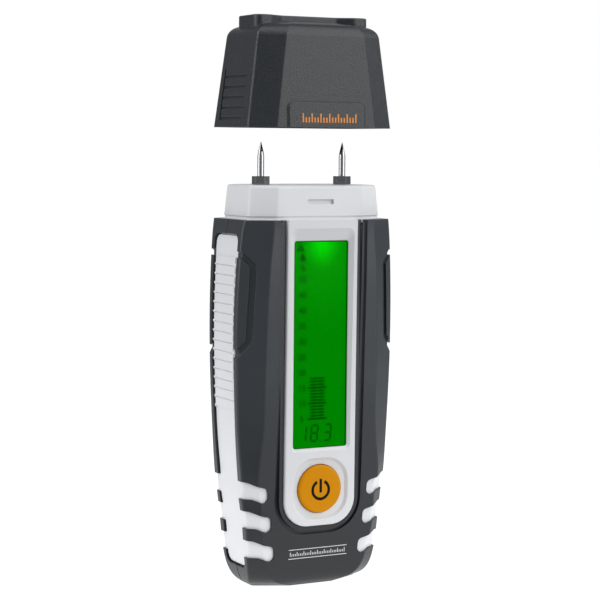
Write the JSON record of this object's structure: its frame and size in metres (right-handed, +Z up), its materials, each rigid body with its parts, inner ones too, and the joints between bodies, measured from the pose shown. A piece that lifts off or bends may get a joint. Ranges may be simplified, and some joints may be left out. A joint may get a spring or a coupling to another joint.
{
  "type": "moisture meter",
  "caption": "Handheld pin moisture meter: rubber-jacketed housing, tall backlit display, power button, steel needles and a pull-off protective cap.",
  "frame": {"origin": "centre of the base that the meter stands on", "axes": "+Z up towards the needles, the display faces -Y, +X to the right of the display as the reader sees it"},
  "size_m": [0.0566, 0.0343, 0.1839],
  "materials": {
    "jacket": "satin moulded rubber overmould with a fine grain",
    "housing": "light grey-white satin ABS",
    "lens": "clear flat window",
    "lcd": "green backlit LCD",
    "light_guide": "milky acrylic light guide",
    "contact_strip": "elastomer contact strip",
    "circuit_board": "green solder mask",
    "backlight_leds": "small surface-mount lamps",
    "controller_chip": "black moulded package",
    "switch_body": "black moulded plastic",
    "switch_plunger": "moulded plastic",
    "power_button": "satin amber plastic",
    "contact_steel": "nickel-plated spring steel",
    "cap": "spark-eroded dark grey plastic",
    "screws": "zinc-plated steel",
    "electrode_steel": "polished steel",
    "brass": "turned brass",
    "battery": "printed sleeve over a steel can"
  },
  "bodies": {
    "housing": {"front_jacket": "jacket", "rear_jacket": "jacket", "front_shell": "housing", "rear_shell": "housing", "display_panel": "housing", "display_lens": "lens", "lcd_glass": "lcd", "light_guide": "light_guide", "contact_strip": "contact_strip", "circuit_board": "circuit_board", "backlight_leds": "backlight_leds", "controller_chip": "controller_chip", "switch_body": "switch_body", "battery_springs": "contact_steel", "battery_contacts": "contact_steel", "housing_screws": "screws", "left_side_grip": "housing", "right_side_grip": "housing", "left_insert": "brass", "right_insert": "brass", "left_lead": "contact_steel", "right_lead": "contact_steel", "left_battery": "battery", "right_battery": "battery"},
    "cap": {"cap_shell": "cap"},
    "button": {"power_button": "power_button"},
    "plunger": {"switch_plunger": "switch_plunger"},
    "door": {"battery_door": "cap"},
    "left_needle": {"left_electrode": "electrode_steel"},
    "right_needle": {"right_electrode": "electrode_steel"}
  },
  "joints": [
    {"name": "cap_slide", "type": "slide", "parent": "housing", "child": "cap", "axis": [0, 0, 1], "range_m": [-0.0292, 0]},
    {"name": "button_press", "type": "slide", "parent": "housing", "child": "button", "axis": [0, 1, 0], "range_m": [0, 0.0006], "stiffness_N_per_m": 1500},
    {"name": "plunger_press", "type": "slide", "parent": "housing", "child": "plunger", "axis": [0, 1, 0], "range_m": [0, 0.0006]},
    {"name": "door_hinge", "type": "hinge", "parent": "housing", "child": "door", "pos_m": [0, 0.01285, 0.0398], "axis": [-1, 0, 0], "range_deg": [0, 70]},
    {"name": "left_needle_turn", "type": "hinge", "parent": "housing", "child": "left_needle", "pos_m": [-0.0149, 0, 0.13], "axis": [0, 0, 1], "continuous": true},
    {"name": "right_needle_turn", "type": "hinge", "parent": "housing", "child": "right_needle", "pos_m": [0.0149, 0, 0.13], "axis": [0, 0, 1], "continuous": true}
  ],
  "couplings": [
    {"joint": "plunger_press", "follows": "button_press", "ratio": 1}
  ]
}
